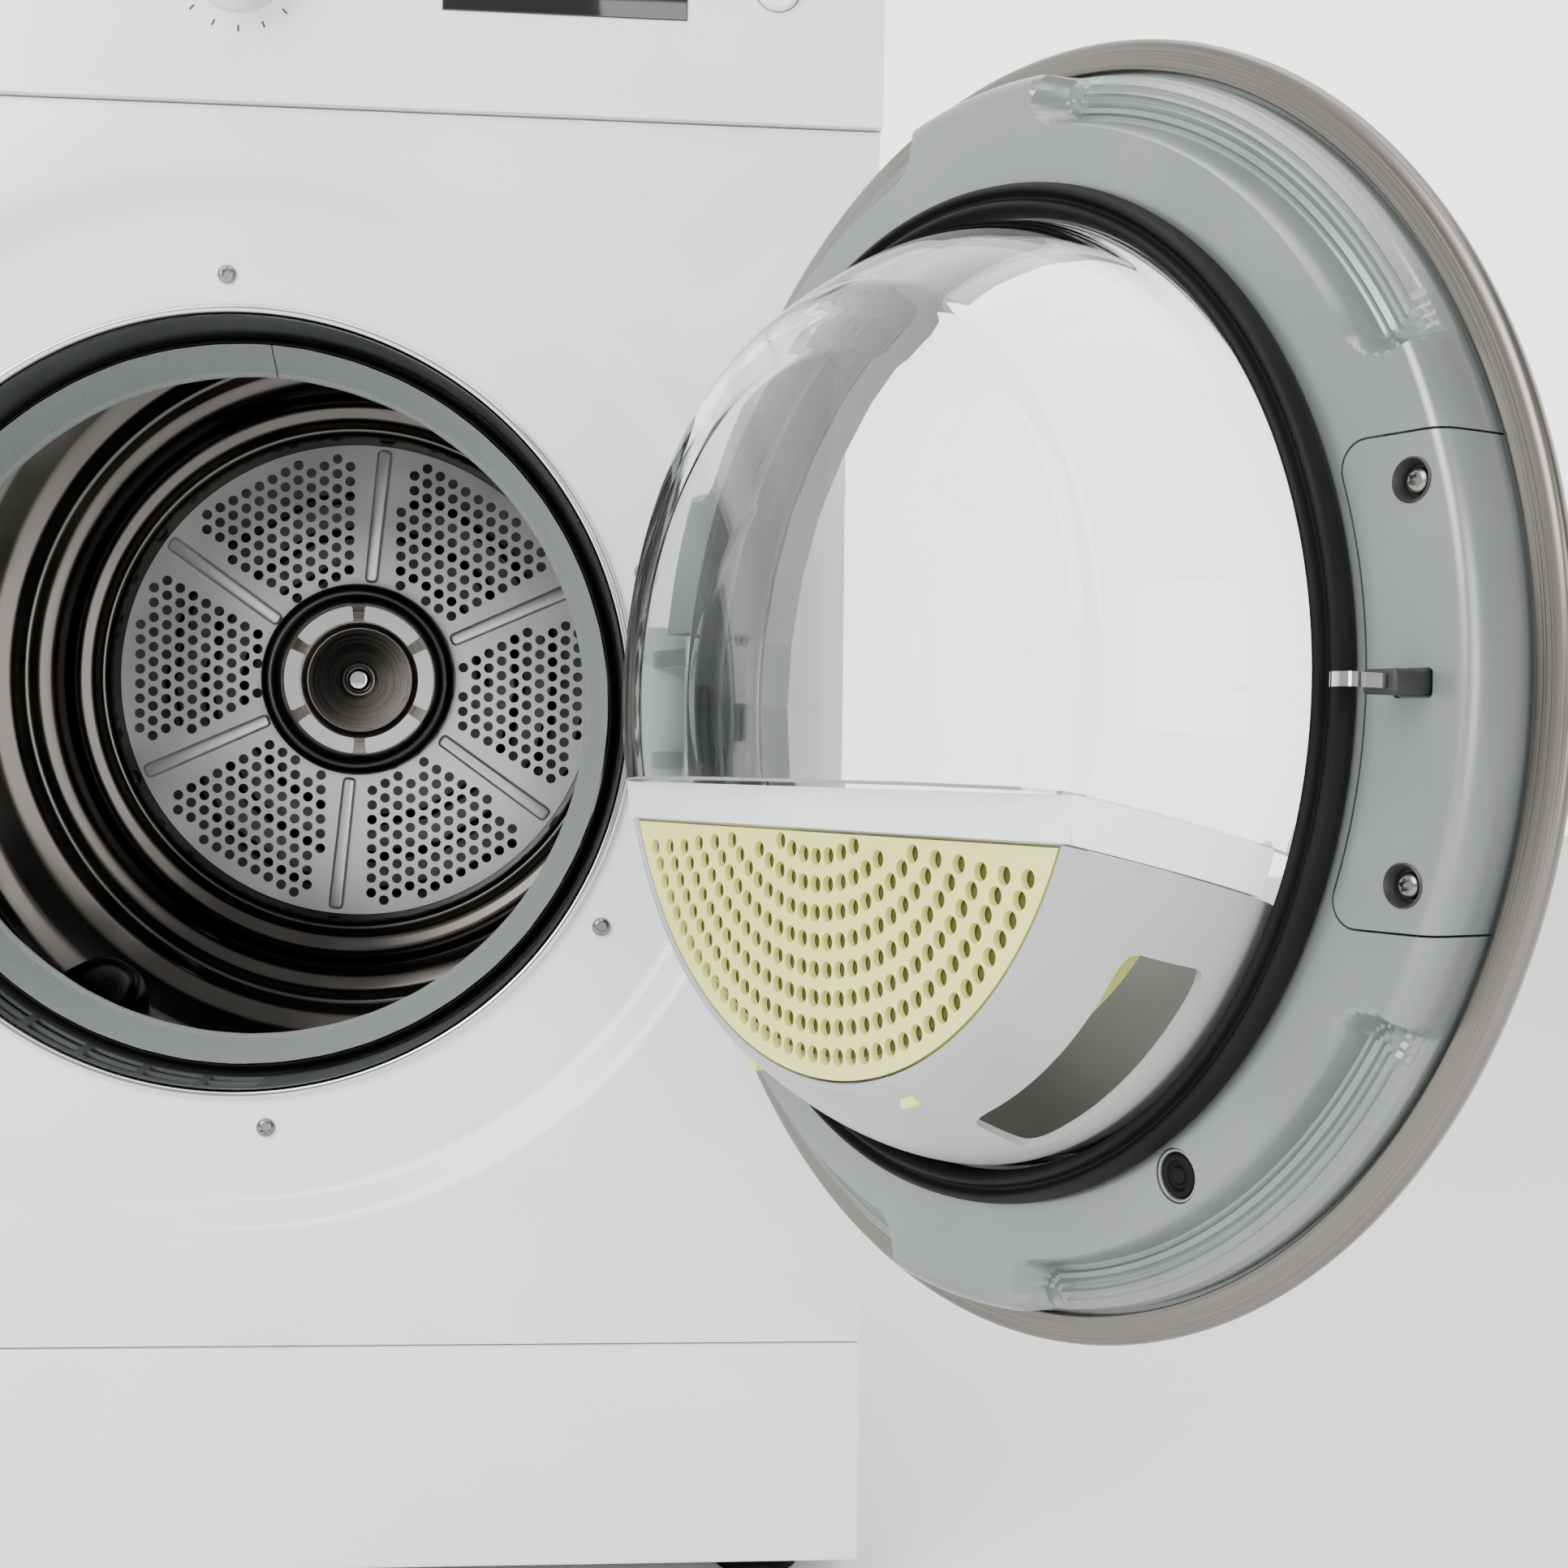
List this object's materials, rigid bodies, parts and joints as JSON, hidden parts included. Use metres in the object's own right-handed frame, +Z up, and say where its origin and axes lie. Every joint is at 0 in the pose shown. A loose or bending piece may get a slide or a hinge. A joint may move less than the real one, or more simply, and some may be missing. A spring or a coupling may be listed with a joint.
{
  "type": "clothes dryer",
  "caption": "Front-loading clothes dryer with a round glazed door standing open, a lift-out lint filter, a perforated steel drum and a belt drive.",
  "frame": {"origin": "centre of the base pan's flat underside, 20 mm above the floor that the feet stand on", "axes": "+X to the viewer's right facing the machine, +Y from the front to the back, +Z up"},
  "size_m": [0.7364, 1.0226, 0.85],
  "materials": {
    "white_enamel": "gloss white enamel on sheet steel",
    "white_laminate": "white laminate on chipboard, satin",
    "galvanised_steel": "galvanised sheet, satin",
    "stainless_drum": "polished perforated stainless steel",
    "stainless_trim": "brushed stainless steel",
    "chrome_trim": "chromed plastic ring, bright",
    "black_rubber": "moulded black rubber, matt",
    "dark_plastic": "moulded black polypropylene",
    "silver_plastic": "moulded silver grey ABS, satin",
    "clear_glass": "clear pressed glass",
    "grey_felt": "pressed wool felt",
    "yellow_plastic": "moulded pale yellow polypropylene",
    "white_plastic": "glossy white ABS",
    "circuit_board": "green circuit board"
  },
  "bodies": {
    "cabinet": {"side_panel_left": "white_enamel", "side_panel_right": "white_enamel", "back_panel": "galvanised_steel", "top_panel": "white_laminate", "base_pan": "galvanised_steel", "plinth": "white_plastic", "front_panel": "white_enamel", "opening_ring": "chrome_trim", "mouth_seal": "black_rubber", "felt_seal": "grey_felt", "front_bulkhead": "galvanised_steel", "rear_bulkhead": "galvanised_steel", "lint_duct": "dark_plastic", "blower_housing": "dark_plastic", "exhaust_duct": "galvanised_steel", "heater_duct": "galvanised_steel", "heater_coil": "dark_plastic", "bearing_housing": "galvanised_steel", "motor": "galvanised_steel", "motor_mount": "galvanised_steel", "drum_belt": "black_rubber", "control_fascia": "white_plastic", "control_board": "circuit_board", "hinge_bracket": "galvanised_steel", "hinge_pin": "chrome_trim", "door_catch": "dark_plastic", "foot_front_left": "black_rubber", "foot_front_right": "black_rubber", "foot_back_left": "black_rubber", "foot_back_right": "black_rubber"},
    "door": {"hinge_leaf": "galvanised_steel", "door_rim": "stainless_trim", "door_frame": "dark_plastic", "door_glass": "clear_glass", "door_liner": "silver_plastic", "latch_cover": "silver_plastic", "latch_hook": "chrome_trim", "door_bumper": "black_rubber", "door_gasket": "black_rubber", "door_bowl": "clear_glass", "filter_housing": "silver_plastic"},
    "lint_filter": {"filter_handle": "white_plastic", "filter_plate": "yellow_plastic", "filter_screen": "yellow_plastic"},
    "drum": {"drum_shell": "stainless_drum", "drum_back": "stainless_drum", "hub_cap": "stainless_drum", "drum_shaft": "galvanised_steel", "drum_lifter_1": "stainless_drum", "drum_lifter_2": "stainless_drum", "drum_lifter_3": "stainless_drum"},
    "rotor": {"motor_shaft": "galvanised_steel", "blower_wheel": "dark_plastic"},
    "roller_left": {"drum_roller_left": "black_rubber"},
    "roller_right": {"drum_roller_right": "black_rubber"},
    "idler": {"idler_arm": "galvanised_steel"},
    "idler_wheel": {"idler_pulley": "dark_plastic"},
    "knob": {"program_knob": "chrome_trim"},
    "power_key": {"power_button": "white_plastic"},
    "start_key": {"start_button": "white_plastic"}
  },
  "joints": [
    {"name": "door_hinge", "type": "hinge", "parent": "cabinet", "child": "door", "pos_m": [0.2175, -0.3135, 0.405], "axis": [0, 0, 1], "range_deg": [-118.6, 0]},
    {"name": "filter_slide", "type": "slide", "parent": "door", "child": "lint_filter", "axis": [-0.8441, -0.4602, 0.2749], "range_m": [0, 0.085]},
    {"name": "drum_spin", "type": "hinge", "parent": "cabinet", "child": "drum", "pos_m": [0, 0, 0.435], "axis": [0, 1, 0], "continuous": true},
    {"name": "motor_spin", "type": "hinge", "parent": "cabinet", "child": "rotor", "pos_m": [-0.11, 0, 0.083], "axis": [0, 1, 0], "continuous": true},
    {"name": "left_roller_spin", "type": "hinge", "parent": "cabinet", "child": "roller_left", "pos_m": [-0.17626, -0.172, 0.17369], "axis": [0, 1, 0], "continuous": true},
    {"name": "right_roller_spin", "type": "hinge", "parent": "cabinet", "child": "roller_right", "pos_m": [0.17626, -0.172, 0.17369], "axis": [0, 1, 0], "continuous": true},
    {"name": "idler_swing", "type": "hinge", "parent": "cabinet", "child": "idler", "pos_m": [0.07131, 0.072, 0.036], "axis": [0, 1, 0], "range_deg": [-10, 0], "stiffness_Nm_per_rad": 0.8, "springref_deg": 11.46},
    {"name": "idler_spin", "type": "hinge", "parent": "idler", "child": "idler_wheel", "pos_m": [-0.00369, 0.062, 0.10272], "axis": [0, 1, 0], "continuous": true},
    {"name": "knob_turn", "type": "hinge", "parent": "cabinet", "child": "knob", "pos_m": [0, -0.299, 0.74225], "axis": [0, 1, 0], "continuous": true},
    {"name": "power_press", "type": "slide", "parent": "cabinet", "child": "power_key", "axis": [0, 1, 0], "range_m": [0, 0.002], "stiffness_N_per_m": 500},
    {"name": "start_press", "type": "slide", "parent": "cabinet", "child": "start_key", "axis": [0, 1, 0], "range_m": [0, 0.002], "stiffness_N_per_m": 500}
  ],
  "couplings": [
    {"joint": "motor_spin", "follows": "drum_spin", "ratio": 27.49},
    {"joint": "left_roller_spin", "follows": "drum_spin", "ratio": -9.4667},
    {"joint": "right_roller_spin", "follows": "drum_spin", "ratio": -9.4667},
    {"joint": "idler_spin", "follows": "drum_spin", "ratio": -19.318}
  ]
}
